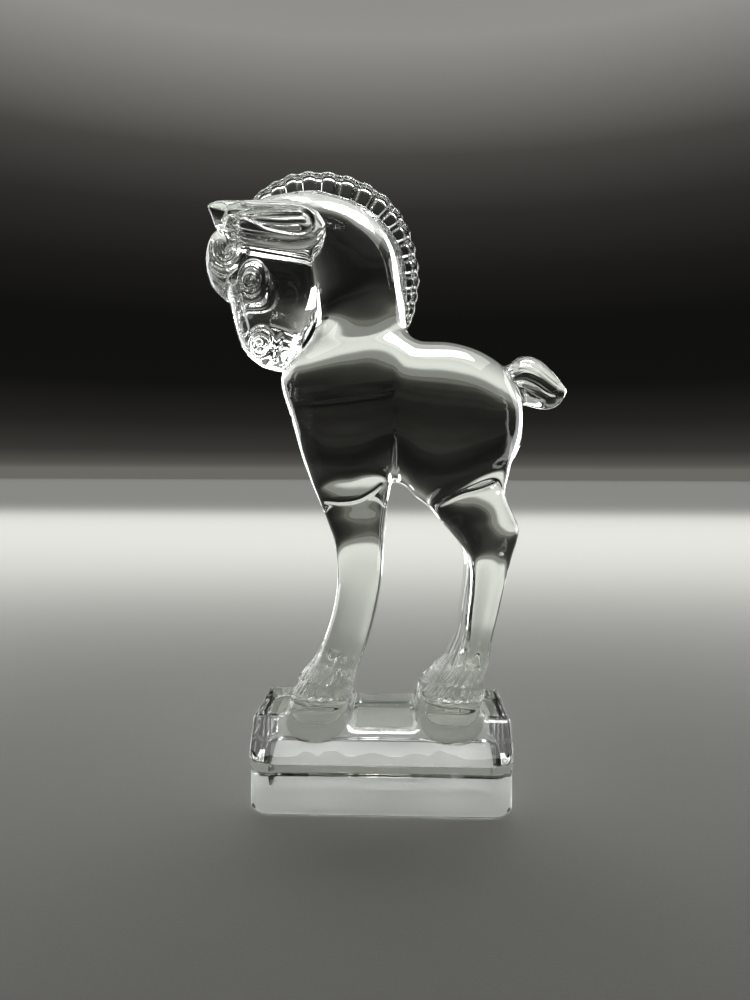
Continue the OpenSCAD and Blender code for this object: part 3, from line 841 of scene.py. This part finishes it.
mesh = bpy.data.meshes.new("floor")
corners = [(-FLOOR_HALF, FLOOR_NEAR, 0), (FLOOR_HALF, FLOOR_NEAR, 0),
           (FLOOR_HALF, FLOOR_END, 0), (-FLOOR_HALF, FLOOR_END, 0)]
mesh.from_pydata(corners, [], [(0, 1, 2, 3)])
mesh.materials.append(floor_paint)
floor = bpy.data.objects.new("floor", mesh)
bpy.context.scene.collection.objects.link(floor)
floor.location.z = -FLOOR_GAP


# Lamps: softboxes at both sides and above make the white rims on the glass and don't reach the
# floor. Two hidden washes make the floor bright a metre or more behind the figure, and leave it
# dark near by.
def softbox(name, place, aim, wide, tall, power):
    """A rectangular lamp in metres and watts."""
    data = bpy.data.lights.new(name, "AREA")
    data.shape = "RECTANGLE"
    data.size, data.size_y, data.energy = wide, tall, power
    lamp = bpy.data.objects.new(name, data)
    bpy.context.scene.collection.objects.link(lamp)
    lamp.location = place
    lamp.rotation_euler = (Vector(aim) - Vector(place)).to_track_quat("-Z", "Y").to_euler()
    return lamp


left = softbox("left softbox", place=(-0.85, 0.45, 0.32), aim=(0, 0, 0.16), wide=0.7, tall=0.8, power=6)
right = softbox("right softbox", place=(0.85, 0.45, 0.32), aim=(0, 0, 0.16), wide=0.7, tall=0.8, power=6)
above = softbox("overhead softbox", place=(0.12, -0.2, 0.8), aim=(0.03, 0, 0.15), wide=0.5, tall=0.3, power=9)
ceiling = softbox("ceiling panel", place=(0, -0.1, 1.15), aim=(0, 0, 0.1), wide=1.8, tall=1.3, power=19)
for lamp in (left, right, above, ceiling):
    lamp.visible_diffuse = False
wash = softbox("floor wash", place=(0, 1.38, 0.45), aim=(0, 1.38, 0), wide=5, tall=1.7, power=58)
far_wash = softbox("far floor wash", place=(0, 6.5, 1), aim=(0, 6.5, 0), wide=14, tall=9, power=230)
for lamp in (wash, far_wash):
    lamp.visible_camera = lamp.visible_glossy = lamp.visible_transmission = False

# Backdrop: a dark room behind the figure, palest at the horizon and again high up, where the light
# of the lamps spills onto it. Each step is the sine of the height angle and a colour.
STEPS = [
    (0.0, "#6a6963"), (0.006, "#53524d"), (0.024, "#373633"), (0.061, "#232220"), (0.11, "#121211"),
    (0.19, "#111110"), (0.252, "#1c1b1a"), (0.318, "#2d2c2a"), (0.379, "#474643"), (0.436, "#73726e"),
    (0.49, "#92918d"), (0.58, "#8a8985"), (0.72, "#3a3937"),
]
world = bpy.data.worlds.new("dim studio")
bpy.context.scene.world = world
world.use_nodes = True
tree = world.node_tree
tree.nodes.clear()
where = add(tree, "ShaderNodeTexCoord")
split = add(tree, "ShaderNodeSeparateXYZ", links={"Vector": where.outputs["Generated"]})
sky = add(tree, "ShaderNodeValToRGB", links={"Fac": split.outputs["Z"]})
while len(sky.color_ramp.elements) < len(STEPS):
    sky.color_ramp.elements.new(0.5)
for stop, (at, code) in zip(sky.color_ramp.elements, STEPS):
    stop.position, stop.color = at, linear(code)
glow = add(tree, "ShaderNodeBackground", {"Strength": 1.0}, {"Color": sky.outputs["Color"]})
add(tree, "ShaderNodeOutputWorld", links={"Surface": glow.outputs["Background"]})

# Camera: a phone held level with the middle of the figure and some 37 cm from it. LENS_AT is in mm
# like the figure, and the angles are how far it is turned left, tipped down and rolled.
LENS_AT = (6.6, -367.5, 156.0)
SENSOR_WIDE, FOCAL = 36, 27
YAW, PITCH, ROLL = (math.radians(a) for a in (1.65, 2.35, 0.2))
across = Vector((math.cos(YAW), math.sin(YAW), 0))
ahead = Vector((-math.sin(YAW), math.cos(YAW), 0))
look = ahead * math.cos(PITCH) - Vector((0, 0, 1)) * math.sin(PITCH)
upward = Vector((0, 0, 1)) * math.cos(PITCH) + ahead * math.sin(PITCH)
lens_right = across * math.cos(ROLL) + upward * math.sin(ROLL)
lens_up = upward * math.cos(ROLL) - across * math.sin(ROLL)
lens = bpy.data.cameras.new("camera")
lens.sensor_width, lens.lens, lens.clip_start = SENSOR_WIDE, FOCAL, 0.01
camera = bpy.data.objects.new("camera", lens)
bpy.context.scene.collection.objects.link(camera)
camera.matrix_world = Matrix((
    (lens_right.x, lens_up.x, -look.x, LENS_AT[0] * MM),
    (lens_right.y, lens_up.y, -look.y, LENS_AT[1] * MM),
    (lens_right.z, lens_up.z, -look.z, LENS_AT[2] * MM),
    (0, 0, 0, 1)))
bpy.context.scene.camera = camera
bpy.context.scene.view_settings.view_transform = "Standard"
# Light crosses many glass faces and fused joints before it leaves the figure.
BOUNCES, JOINTS_CROSSED = 24, 64
bpy.context.scene.cycles.max_bounces = BOUNCES
bpy.context.scene.cycles.transmission_bounces = BOUNCES
bpy.context.scene.cycles.transparent_max_bounces = JOINTS_CROSSED
